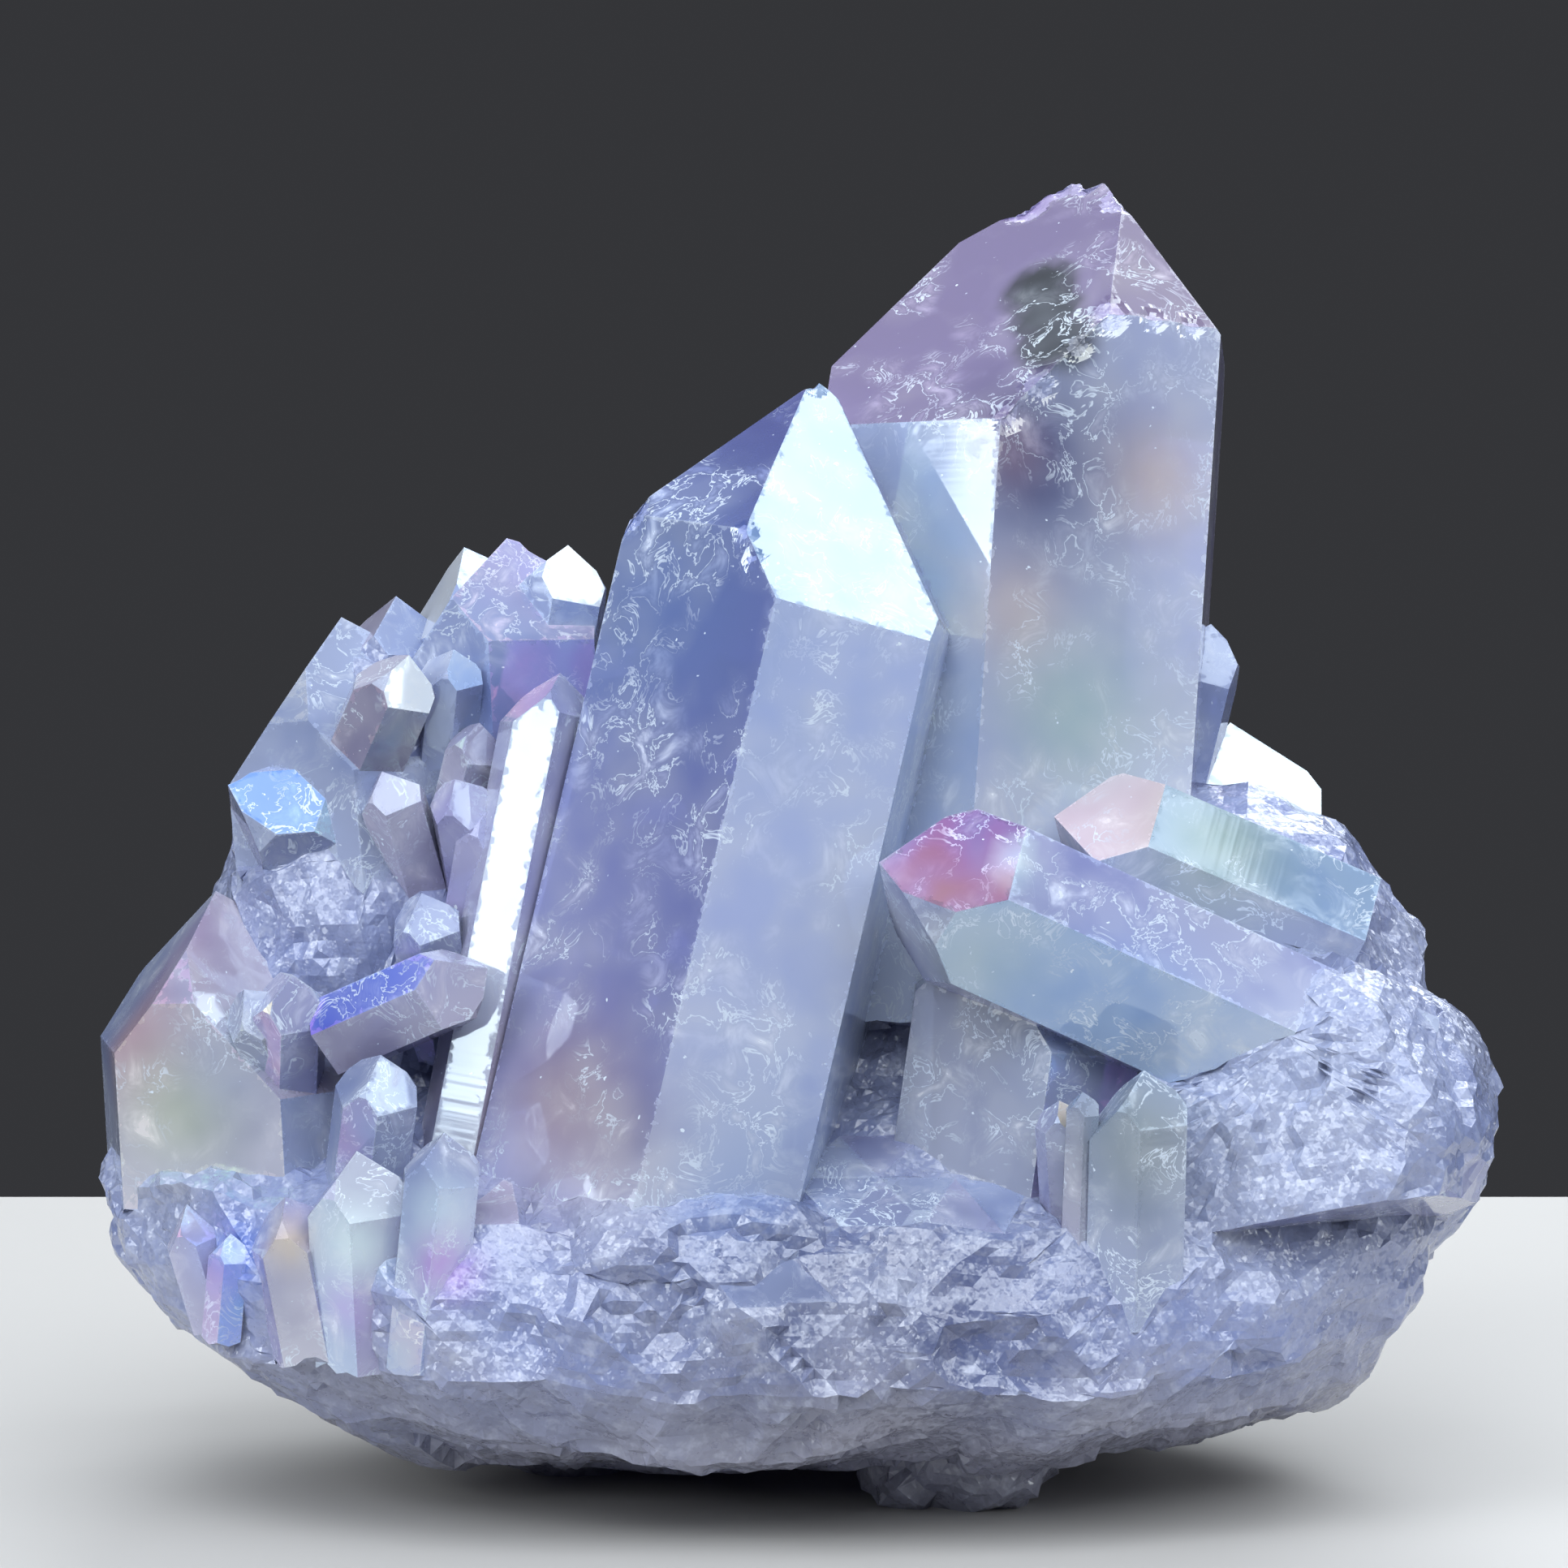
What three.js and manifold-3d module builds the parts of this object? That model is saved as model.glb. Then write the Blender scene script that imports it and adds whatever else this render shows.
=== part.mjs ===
// Aura quartz cluster: two large quartz points and a crowd of small ones, grown together on broken massive quartz.
// Millimetres, +Z up, seen from -Y. It is one grown piece, so every crystal is fused into one solid.
// The origin is under the middle of the cluster, on the surface that it stands on.
import * as THREE from "three";
import { ImprovedNoise } from "three/addons/math/ImprovedNoise.js";
import { mergeVertices } from "three/addons/utils/BufferGeometryUtils.js";
import Module from "manifold-3d";

const wasm = await Module();
wasm.setup();

// Quartz habit: six side faces, and a pointed crown of six faces whose normals lie this far from the axis.
const FACES = 6;
const CROWN_ANGLE = 51.8;

// Large points: the distance of each side face from the axis, and how far each crown face is set out from the tip.
// Face 0 is turned by twist from the viewer's side, and the others follow to the right.
const LARGE_POINTS = [
  {
    tip: [0.6, 0, 62.3], // the front point
    lean: 13.4,
    back: 12.3,
    twist: -101,
    length: 56,
    sides: [7, 7.7, 10.9, 11.3, 12, 9],
    crown: [-0.4, 0, 0.3, 1.5, 1, 1],
  },
  {
    tip: [18, 13, 72.9], // the tall point behind it
    lean: 4.2,
    back: 14,
    twist: -95.5,
    length: 50,
    sides: [14.7, 12.6, 8.4, 7.5, 9, 13],
    crown: [4.2, 0, 1, 0.1, 0.3, 2],
  },
];

// Small points: tip, lean to the right, lean to the back, twist, length, and radius from the axis to a side face.
const SMALL_POINTS = [
  // the two lying points in front of the tall one, and the block they lie on
  { tip: [4.8, -16, 37.4], lean: -64, back: -10, twist: -78, length: 32, radius: 4.8 },
  { tip: [14.6, -8, 38.9], lean: -66, back: -4, twist: -74, length: 18, radius: 3.5 },
  { tip: [14.2, -8, 36.5], lean: 8, back: 2, twist: -91, length: 22, radius: 6.5 },
  // points on the right shoulder
  { tip: [24.1, 8, 48], lean: 14, back: 10, twist: -101, length: 18, radius: 2.4 },
  { tip: [25.3, 9, 42.2], lean: 0, back: 8, twist: -94, length: 18, radius: 5 },
  // little points at the foot of the lying ones
  { tip: [19.1, -20, 26.6], lean: 1, back: -4, twist: -90, length: 14, radius: 2.4 },
  { tip: [15.8, -20, 25.4], lean: 2, back: -3, twist: -90, length: 9, radius: 0.9 },
  { tip: [14.6, -18, 24.6], lean: -4, back: -6, twist: -70, length: 8, radius: 1.2 },
  // the standing points of the left mass
  { tip: [-25.4, 2, 49], lean: -5, back: 6, twist: -88, length: 26, radius: 7 },
  { tip: [-16.1, 4, 53.3], lean: -3, back: 10, twist: -93, length: 24, radius: 5 },
  { tip: [-22.4, 4, 50], lean: 4, back: 4, twist: -76, length: 16, radius: 3 },
  { tip: [-18.6, 6, 52.6], lean: -10, back: 8, twist: -70, length: 20, radius: 4.4 },
  { tip: [-12.6, 3, 53], lean: 10, back: 7, twist: -96, length: 14, radius: 2.6 },
  { tip: [-32.2, -4, 34.2], lean: -3, back: 2, twist: -80, length: 17, radius: 6.9 },
  { tip: [-12.8, -6, 46.7], lean: 11, back: 10, twist: -70, length: 34, radius: 2.2 },
  // points that turn outwards from the left mass
  { tip: [-31.4, -5, 40.3], lean: -58, back: -22, twist: -88, length: 12, radius: 3.4 },
  { tip: [-31.6, -2, 36.4], lean: -60, back: -5, twist: -80, length: 8, radius: 1.7 },
  { tip: [-21.2, -6, 47.7], lean: 24, back: -16, twist: -85, length: 10, radius: 2.2 },
  { tip: [-16.6, -14, 31.3], lean: 64, back: -18, twist: -102, length: 10, radius: 2.4 },
  { tip: [-18.8, -4, 47.8], lean: 6, back: -12, twist: -70, length: 10, radius: 1.6 },
  { tip: [-17.3, -6, 43.9], lean: 14, back: -18, twist: -95, length: 10, radius: 1.5 },
  { tip: [-18.6, -8, 41], lean: -8, back: -26, twist: -80, length: 10, radius: 1.7 },
  { tip: [-22.7, -7, 41.3], lean: -14, back: -20, twist: -100, length: 10, radius: 1.5 },
  { tip: [-16.8, -8, 39.2], lean: 10, back: -14, twist: -88, length: 10, radius: 1.4 },
  { tip: [-20.4, -10, 34.9], lean: -6, back: -22, twist: -92, length: 10, radius: 1.9 },
  { tip: [-30.1, -12, 29.8], lean: -20, back: -26, twist: -84, length: 10, radius: 1.8 },
  { tip: [-27.4, -13, 30.8], lean: 4, back: -28, twist: -98, length: 10, radius: 2 },
  { tip: [-22.4, -16, 26.8], lean: 8, back: -16, twist: -76, length: 12, radius: 2.2 },
  // the row of columns along the lower left edge
  { tip: [-33.3, -13, 18], lean: -16, back: -4, twist: -84, length: 7, radius: 1.7 },
  { tip: [-30.7, -15.5, 16.8], lean: 6, back: -10, twist: -100, length: 6, radius: 1.2 },
  { tip: [-27.6, -17, 19.1], lean: -10, back: -5, twist: -72, length: 9, radius: 2.2 },
  { tip: [-23.6, -18.5, 21.9], lean: -2, back: -8, twist: -98, length: 12, radius: 2.6 },
  { tip: [-18.8, -19.5, 23.1], lean: 6, back: -2, twist: -86, length: 13, radius: 2 },
];

// Rows of points on the far side, which fan out from the middle and are lower towards the ends.
const FAR_ROWS = [
  { count: 7, spread: 52, out: 23, height: 23, fall: 0.1, back: 56, length: 16, radius: 3.4 },
  { count: 6, spread: 54, out: 22, height: 34, fall: 0.2, back: 42, length: 24, radius: 4.2 },
  { count: 5, spread: 48, out: 16, height: 49, fall: 0.4, back: 20, length: 26, radius: 4.6 },
];
const FAR_FAN = 50; // degrees between the leans of the two ends of a row

// The massive quartz: a broad base, as reaches from the middle at each height, and lumps that rise from it.
const BASE_ROWS = [
  { z: 2.4, left: 5, right: 5, front: 3, back: 5 },
  { z: 1.8, left: 14, right: 14, front: 7, back: 14 },
  { z: 3, left: 23, right: 25, front: 13.5, back: 19 },
  { z: 6, left: 29, right: 31, front: 20.5, back: 22 },
  { z: 10, left: 34.5, right: 34.5, front: 24, back: 24 },
  { z: 14, left: 38, right: 37, front: 23.5, back: 25 },
  { z: 18, left: 38.5, right: 39, front: 20.5, back: 24.5 },
  { z: 22, left: 36.5, right: 38.5, front: 11, back: 23 },
  { z: 26, left: 32, right: 34, front: 6, back: 20 },
  { z: 30, left: 26, right: 28, front: 4, back: 16 },
];
const RINGS_PER_ROW = 2;
const BASE_SIDES = 66;
const BASE_SQUARENESS = 2.3; // 2 gives round sections, more gives boxier ones
const BASE_WAVE = 1.6; // how far the rings rise and fall
const BASE_WAVE_SPACING = 9;
const LUMPS = [
  { at: [-24, 4, 29], reach: [8.5, 12, 18] }, // the left mass
  { at: [4, 9, 28], reach: [19, 13, 16] }, // the middle, behind the large points
  { at: [23, 2, 26.5], reach: [13, 14.5, 12.5] }, // the right shoulder
  { at: [-4.5, -18, 16.5], reach: [8.5, 5, 4.2] }, // the swelling at the foot of the front point
  {
    at: [28.2, -7, 21.5], // the broken block on the right, with a flat break to the front and a ledge under it
    reach: [10.6, 15, 10],
    breaks: [
      { toward: [-0.25, -0.93, 0.26], reach: 11 },
      { toward: [0.15, -0.3, -0.94], reach: 6.5 },
    ],
  },
];
const LUMP_DETAIL = 4;

// Hollows in the broken base.
const PITS = [
  { at: [13, -25.5, 11], reach: [5.5, 3, 3.6] },
  { at: [-7, -26, 9], reach: [4, 2.6, 2.4] },
  { at: [27, -21, 8.5], reach: [4.5, 3, 3] },
  { at: [-10, 27, 9], reach: [6, 3.4, 4] },
];

// Low lumps underneath that it stands on, cut flat where they touch the surface.
const FEET = [
  { at: [9.5, -6.5, 3], reach: [5.5, 5, 4] },
  { at: [-13, 5, 3.4], reach: [8, 7, 4.2] },
  { at: [11, 14, 3.2], reach: [7, 6.5, 4] },
];

// Broken surfaces: the spacing of the ridges and how far they stand out.
const RIDGES = [
  { spacing: 12, height: 1.5 },
  { spacing: 5, height: 0.9 },
];

const radians = THREE.MathUtils.degToRad;
const noise = new ImprovedNoise();

// A closed geometry as a solid that can be joined and cut.
function solidOf(geometry) {
  geometry.deleteAttribute("normal");
  geometry.deleteAttribute("uv");
  const merged = mergeVertices(geometry, 1e-4);
  return new wasm.Manifold(
    new wasm.Mesh({
      numProp: 3,
      vertProperties: merged.attributes.position.array,
      triVerts: new Uint32Array(merged.index.array),
    }),
  );
}

// What is left of a solid on the inner side of a plane through a point.
function cutAway(solid, outward, point) {
  return solid.trimByPlane(outward.clone().negate().toArray(), -outward.dot(point));
}

// One quartz crystal: six side faces around an axis, and a crown of six sloping faces near the tip.
function crystal({ tip, lean, back, twist, length, sides, crown }) {
  const axis = new THREE.Vector3(
    Math.sin(radians(lean)) * Math.cos(radians(back)),
    Math.sin(radians(back)),
    Math.cos(radians(lean)) * Math.cos(radians(back)),
  );
  const right = axis.clone().cross(new THREE.Vector3(0, -1, 0)).normalize();
  const front = right.clone().cross(axis);
  const point = new THREE.Vector3(...tip);
  const overhang = Math.max(...sides);
  const blank = new THREE.BoxGeometry(4 * overhang, 4 * overhang, length + overhang);
  blank.translate(0, 0, (overhang - length) / 2);
  blank.applyMatrix4(new THREE.Matrix4().makeBasis(right, front.clone().negate(), axis).setPosition(point));
  let solid = solidOf(blank);
  for (let face = 0; face < FACES; face++) {
    const angle = radians(twist + (face * 360) / FACES);
    const outward = right.clone().multiplyScalar(Math.sin(angle)).addScaledVector(front, Math.cos(angle));
    const sloping = outward
      .clone()
      .multiplyScalar(Math.sin(radians(CROWN_ANGLE)))
      .addScaledVector(axis, Math.cos(radians(CROWN_ANGLE)));
    solid = cutAway(solid, outward, point.clone().addScaledVector(outward, sides[face]));
    solid = cutAway(solid, sloping, point.clone().addScaledVector(sloping, crown[face]));
  }
  return solid;
}

// A small point: an uneven hexagon, with three crown faces larger than the three between them.
function smallCrystal({ radius, ...place }, index) {
  const sides = [];
  const crown = [];
  for (let face = 0; face < FACES; face++) {
    const uneven = noise.noise(index * 1.7 + 0.3, face * 2.3 + 0.6, 0.5);
    sides.push(radius * (1 + 0.3 * uneven));
    crown.push(radius * (face % 2 ? 0.3 : 0) * (1 + uneven));
  }
  return crystal({ ...place, sides, crown });
}

// One row of points on the far side.
function farCrystals({ count, spread, out, height, fall, back, length, radius }, row) {
  return Array.from({ length: count }, (_, index) => {
    const across = index / (count - 1) - 0.5;
    const wobble = (trait) => noise.noise(index * 1.37 + 0.4, trait * 3.1 + 0.7, row * 5.3 + 0.2);
    const x = spread * (across + 0.1 * wobble(0));
    return smallCrystal(
      {
        tip: [x, out + 4 * Math.cos(Math.PI * across), height - fall * Math.abs(x) + 6 * wobble(1)],
        lean: FAR_FAN * across,
        back: back * (1 + 0.5 * wobble(2)),
        twist: 60 * wobble(3),
        length,
        radius: radius * (1 + 0.8 * wobble(4)),
      },
      index + 20 * (row + 2),
    );
  });
}

// How far the broken surface stands out at a point: sharp crests between rounded hollows.
function ruggedness({ x, y, z }) {
  return RIDGES.reduce(
    (sum, { spacing, height }) => sum + height * (0.5 - 2 * Math.abs(noise.noise(x / spacing, y / spacing, z / spacing))),
    0,
  );
}

// The height and the reaches of the base at a ring, between two of its rows.
function baseRow(ring) {
  const low = Math.min(Math.floor(ring / RINGS_PER_ROW), BASE_ROWS.length - 2);
  const share = ring / RINGS_PER_ROW - low;
  const between = (key) => THREE.MathUtils.lerp(BASE_ROWS[low][key], BASE_ROWS[low + 1][key], share);
  return { z: between("z"), left: between("left"), right: between("right"), front: between("front"), back: between("back") };
}

// A point on the base, at a turn around one of its rings.
function basePoint({ z, left, right, front, back }, turn) {
  const bulge = (value) => Math.sign(value) * Math.abs(value) ** (2 / BASE_SQUARENESS);
  const [along, across] = [Math.cos(turn), Math.sin(turn)];
  const outward = new THREE.Vector3(
    bulge(along) * (along > 0 ? right : left),
    bulge(across) * (across > 0 ? back : front),
    0,
  );
  const point = outward.clone().setZ(z);
  const [x, y] = [point.x / BASE_WAVE_SPACING, point.y / BASE_WAVE_SPACING];
  point.z += BASE_WAVE * noise.noise(x, y, z / BASE_WAVE_SPACING);
  return point.addScaledVector(outward.normalize(), ruggedness(point));
}

// The base: rings of points, closed by a fan at each end.
function base() {
  const rings = RINGS_PER_ROW * (BASE_ROWS.length - 1) + 1;
  const points = [new THREE.Vector3(0, 0, BASE_ROWS[0].z)];
  for (let ring = 0; ring < rings; ring++) {
    for (let side = 0; side < BASE_SIDES; side++) {
      points.push(basePoint(baseRow(ring), (2 * Math.PI * (side + 0.5 * (ring % 2))) / BASE_SIDES));
    }
  }
  points.push(new THREE.Vector3(0, 0, BASE_ROWS.at(-1).z));

  const triangles = [];
  const at = (ring, side) => 1 + ring * BASE_SIDES + (side % BASE_SIDES);
  for (let side = 0; side < BASE_SIDES; side++) {
    triangles.push(0, at(0, side + 1), at(0, side));
    triangles.push(points.length - 1, at(rings - 1, side), at(rings - 1, side + 1));
    for (let ring = 0; ring + 1 < rings; ring++) {
      const [a, b] = [at(ring, side), at(ring, side + 1)];
      const [c, d] = [at(ring + 1, side), at(ring + 1, side + 1)];
      if (ring % 2) triangles.push(a, b, d, a, d, c);
      else triangles.push(a, b, c, b, d, c);
    }
  }
  return solidOf(new THREE.BufferGeometry().setFromPoints(points).setIndex(triangles));
}

// A rugged lump of massive quartz, with the flat breaks that it has.
function lump({ at, reach, breaks = [] }) {
  const geometry = new THREE.IcosahedronGeometry(1, LUMP_DETAIL).scale(...reach).translate(...at);
  const position = geometry.attributes.position;
  const middle = new THREE.Vector3(...at);
  const point = new THREE.Vector3();
  for (let index = 0; index < position.count; index++) {
    point.fromBufferAttribute(position, index);
    point.addScaledVector(point.clone().sub(middle).normalize(), ruggedness(point));
    position.setXYZ(index, ...point.toArray());
  }
  return breaks.reduce((solid, flat) => {
    const outward = new THREE.Vector3(...flat.toward).normalize();
    return cutAway(solid, outward, middle.clone().addScaledVector(outward, flat.reach));
  }, solidOf(geometry));
}

// Joins everything, cuts it flat where it stands and brings the middle of the cluster to the origin.
function cluster() {
  const hollowed = PITS.map(lump).reduce((rest, pit) => rest.subtract(pit), base());
  const pieces = [
    hollowed,
    ...[...LUMPS, ...FEET].map(lump),
    ...LARGE_POINTS.map(crystal),
    ...SMALL_POINTS.map(smallCrystal),
    ...FAR_ROWS.flatMap(farCrystals),
  ];
  const joined = pieces.reduce((sum, piece) => sum.add(piece));
  const standing = cutAway(joined, new THREE.Vector3(0, 0, -1), new THREE.Vector3(0, 0, 0)).getMesh();
  const geometry = new THREE.BufferGeometry()
    .setAttribute("position", new THREE.BufferAttribute(standing.vertProperties, 3))
    .setIndex(new THREE.BufferAttribute(standing.triVerts, 1));
  geometry.computeBoundingBox();
  const middle = geometry.boundingBox.getCenter(new THREE.Vector3());
  return geometry.translate(-middle.x, -middle.y, 0);
}

const quartz = new THREE.MeshStandardMaterial({ color: 0xb4b8dc, roughness: 0.12, metalness: 0 });
const specimen = new THREE.Mesh(cluster(), quartz);
specimen.name = "quartz_cluster";

const group = new THREE.Group();
group.add(specimen);
export default group;
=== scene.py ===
import math

import bmesh
import bpy
import numpy as np
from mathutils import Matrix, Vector, noise
from mathutils.kdtree import KDTree


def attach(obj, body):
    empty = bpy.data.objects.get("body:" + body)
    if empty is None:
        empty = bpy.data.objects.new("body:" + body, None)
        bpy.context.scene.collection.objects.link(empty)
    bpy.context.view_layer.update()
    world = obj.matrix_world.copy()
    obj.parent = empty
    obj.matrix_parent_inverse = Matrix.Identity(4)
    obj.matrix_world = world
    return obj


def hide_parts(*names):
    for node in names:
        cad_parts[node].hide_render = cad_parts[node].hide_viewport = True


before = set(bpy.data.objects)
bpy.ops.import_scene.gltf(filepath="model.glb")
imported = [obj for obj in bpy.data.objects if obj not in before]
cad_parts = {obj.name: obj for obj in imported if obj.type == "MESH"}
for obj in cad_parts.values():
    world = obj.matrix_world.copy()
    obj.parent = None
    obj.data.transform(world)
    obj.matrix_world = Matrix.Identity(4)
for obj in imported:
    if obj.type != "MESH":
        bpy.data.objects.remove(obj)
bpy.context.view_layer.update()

MM = 0.001
SEED = 7
TINY = 1e-20  # keeps a division by a length from failing
HALF = (0.5, 0.5, 0.5)  # the mean of a random vector
MIX_INPUTS = (0, 6, 7)  # places of the share and the two colours in a Mix node
MIX_OUTPUT = 2  # place of the mixed colour

# Quartz's own angles in degrees: between two side faces, a side and a crown face, two crown faces
QUARTZ_ANGLES = (60.0, 38.2, 46.27)
ANGLE_SLACK = 0.08
CROWN_COSINE = math.cos(math.radians(51.8))
AXIS_SLACK = 0.004
LEAST_AXIS = 0.1  # a shorter candidate is too uncertain to be an axis
LEAST_SINE_SQUARE = 1e-9

# Flat faces in the CAD mesh
WELD = 1e-7
PLANE_SLACK = 0.004 * MM
SAME_SIDE = 0.3  # least cosine between two triangles of one face
LEAST_EDGE = 0.1 * MM
LARGE_FACE = 9 * MM * MM

# Edge lengths of the refined mesh
ROCK_EDGE = 0.75 * MM
FACE_EDGE = 1.1 * MM
CHIP_EDGE = 0.28 * MM
SPLIT_OVER = 1.35  # an edge is split when it is this many times its limit
REFINE_PASSES = 8

# Flakes of the broken quartz: size and height in millimetres
FLAKES = ((6.5, 0.7), (2.6, 0.3), (1.1, 0.1))
FLAKE_SHUFFLE = 7.3  # sets the flakes' middles apart, so that each has a tilt of its own
FLOOR_SLACK = 0.001 * MM

# Chipped places on the crystals' edges: middle and reach in millimetres
CHIPS = (
    # Tall point's tip
    ((13.6, 13.1, 71.7), 1.8),
    ((15.4, 13.2, 72.7), 1.3),
    ((16.9, 12.6, 73.0), 1.5),
    ((18.7, 9.8, 72.1), 1.6),
    # Lower edges of the tall point's crown
    ((17.8, 0.7, 66.3), 1.5),
    ((16.0, -0.6, 64.6), 1.1),
    ((13.8, -2.1, 62.6), 1.4),
    ((12.0, -3.4, 60.9), 1.2),
    ((20.5, 1.9, 65.8), 0.9),
    ((22.6, 2.8, 65.4), 0.9),
    # Middle point
    ((-9.1, -6.7, 55.6), 1.6),
    ((-2.6, -12.3, 55.2), 0.9),
    ((-2.2, -13.2, 53.6), 0.7),
    ((1.2, -1.4, 62.4), 0.9),
)
CHIP_SLOPE = 0.4
CHIP_SHOWS = 0.12 * MM  # deeper than this, a chip looks like broken quartz
CHIP_GRAIN = 2.5  # a chip's flakes are this many times smaller than the rock's
CHIP_LEVEL = 0.6  # share of the depth that is cut where the flakes are level
CHIP_FLAKE = 1.1 * MM  # flake height that adds the whole depth

# Flat faces that are rough breaks, not crystal
BREAKS = ((26.7, -18.5, 26.1),)

# Coating and inside of the crystals
QUARTZ_IOR = 1.54
FILM_IOR = 1.9
FILM = (8, 46)  # thinnest and thickest plain coating, nanometres
THICK_FILM = (215, 340)  # the coloured coating on a share of the faces
THICK_FILM_SHARE = 0.16
FILM_SWAY = (0.92, 1.08)  # how the coating varies within a face
CLEAR = (0.2, 0.52)  # least and most see-through crystals
MILK_REACH = 6 * MM
ABSORPTION_COLOUR = (0.45, 0.42, 0.9)
ABSORPTION_DENSITY = 28
CRYSTAL_TINTS = ("8a8fc6", "9692c4", "808fca", "9a96bc", "8e9ccc")
TINT_LEVELS = (0.92, 1.08)

# Faces with a look of their own: a place on the face in millimetres, colour, clearness, film in nanometres
FACETS = (
    # Middle point: left side, front, right side, left and right of its crown
    ((-9.7, -11.2, 43.9), "8c96e0", 0.5, 66),
    ((-0.7, -16.6, 40.1), "c4d2ff", 0.25, 60),
    ((8.3, -6.1, 46.9), "b0c4f4", 0.1, 8),
    ((-4.3, -7.5, 57.1), "5860b8", 0.6, 8),
    ((2.4, -10.4, 53.7), "88a8d8", 0.4, 62),
    # Tall point: left side, front, left and right of its crown
    ((9.7, -3, 58.1), "bccefa", 0.25, 62),
    ((14.7, -3.9, 52.2), "ccd6ff", 0.35, 75),
    ((10.4, 5.3, 65.2), "b4a4d8", 0.6, 8),
    ((21, 5.8, 68.4), "c4b0da", 0.6, 70),
    # The two lying points at the right: crown and side of each
    ((8.6, -18.4, 37.7), "4c3464", 0.4, 291),
    ((13.4, -19.6, 31.6), "a4c6ff", 0.3, 62),
    ((19.3, -10.15, 40.2), "d8b8cc", 0.35, 20),
    ((23.5, -12, 37.3), "7898c8", 0.4, 30),
    # Points below and behind them
    ((11.7, -16.4, 25.7), "a8b0d2", 0.35, 80),
    ((14.7, -20.2, 23.7), "f0c8a0", 0.1, 225),
    ((26.8, 6.2, 40.2), "d8ecff", 0.2, 62),
    # Large point at the left end: side and crown
    ((-34.9, -11.5, 25), "b4b4cc", 0.25, 390),
    ((-32.2, -11.2, 29), "a098b8", 0.35, 40),
    # Smaller points at the left
    ((-14.6, -11, 39.4), "c8d4f0", 0.3, 60),
    ((-28.3, -6.9, 39.8), "3468cc", 0.2, 20),
    ((-22, -15.7, 31), "4458d0", 0.3, 296),
    ((-22.2, -8.4, 46.1), "eef8ff", 0.1, 60),
    ((-18.8, -6.2, 46.5), "a8c4f6", 0.2, 64),
    ((-19.1, 1.5, 50.8), "d8e0f4", 0.3, 62),
    ((-13.1, -0.2, 51.4), "e8f2ff", 0.2, 62),
    # Columns along the lower left
    ((-23.9, -21.9, 15.6), "9cb0dc", 0.3, 60),
    ((-21.9, -20.9, 19.3), "8c94b4", 0.3, 10),
    ((-19.3, -23, 17.2), "a4b0e4", 0.3, 60),
    ((-27.5, -20.1, 15.3), "a8a4c0", 0.4, 66),
    ((-30.1, -17.4, 15.1), "7ea0f4", 0.15, 300),
)
# Soft patches of colour and of painted light and shade: middle and reach in millimetres, colour, strength
TINT_AND_LIGHT_PATCHES = (
    # Middle point
    ((-8, -10, 51), 9, "84a4e2", 0.6),
    ((-11, -13, 33), 9, "b8bcf4", 0.6),
    ((-12.5, -17, 24), 5, "d8b8b0", 0.6),
    ((-8.5, -20.5, 21.5), 4, "dcc8b4", 0.5),
    # painted glints along the right edge of the middle point's front
    ((4.5, -16, 33), 4, "d4dcf6", 0.7),
    # Tall point
    ((17, -4, 46), 8, "c4d0e0", 0.6),
    ((14.5, -4, 58.5), 6, "3c4880", 0.9),
    ((21, -0.5, 57), 3.2, "f2d8c4", 0.6),
    # Large point at the left end
    ((-37, -11, 27), 4, "d4a8b8", 0.7),
    ((-34, -12, 23), 3.5, "b8c4a8", 0.7),
    ((-31, -12, 26), 3, "a0b0d8", 0.6),
    # Lying points at the right, and below them
    ((10, -20, 32), 4, "ccdca0", 0.35),
    ((18, -20, 28), 5, "7fa8f0", 0.75),
    ((23.5, -11.8, 37.8), 4, "c0d4a0", 0.5),
    ((18.5, -23.7, 23), 5, "98a488", 0.6),
    # Painted shade on the broken quartz in front
    ((2, -24, 13), 11, "5c6690", 0.9),
    # Columns along the lower left
    ((-31, -17.5, 16), 2.2, "4c7cf0", 0.8),
    ((-23.8, -22, 17), 2, "d8f4ff", 0.9),
    ((-24.6, -21.6, 13.6), 1.6, "a884e8", 0.7),
    ((-19, -23, 19), 1.8, "d0e8ff", 0.8),
    ((-18.6, -23.3, 16.2), 1.6, "b060e0", 0.85),
    ((-27.4, -20.2, 17), 1.4, "f0d8b8", 0.7),
    # Further patches, laid over those above
    ((-36, -8, 33), 3, "d8a0c8", 0.5),
    # painted highlight on a small bright facet of the middle point's front
    ((3, -13.2, 40.5), 1.2, "e8f0ff", 0.7),
    ((12.5, -5.5, 50), 3, "ecd0c0", 0.5),
    ((16, -5.5, 44), 4, "b4dcd4", 0.5),
    # painted light-blue reflection on the ledge at the middle point's foot
    ((-3.4, -20.1, 20.5), 5, "8ca4dc", 0.6),
    ((-22, -15.7, 31), 2, "3c58e4", 0.5),
    ((28, -18, 25), 7, "b8c4e8", 0.7),
    # painted shade on the broken quartz in front
    ((6, -23, 13), 9, "4c5680", 0.7),
    ((12.5, -4.5, 59), 2.5, "a08094", 0.6),
    ((12.1, -19.3, 38.2), 0.9, "d8f0ff", 0.9),
    ((11.9, -19.6, 36.9), 0.9, "d8f0ff", 0.9),
)
# A dark inclusion just under a crown face: places along it and its reach in millimetres
INCLUSION_PLACES = ((14.1, 5.6, 67.4), (14.4, 3.1, 66.05), (14.7, 0.6, 64.7))
INCLUSION_REACH = 2.8
INCLUSION_COLOUR = "2c303a"
INCLUSION_EDGE = 8  # the higher, the sharper its outline

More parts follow.
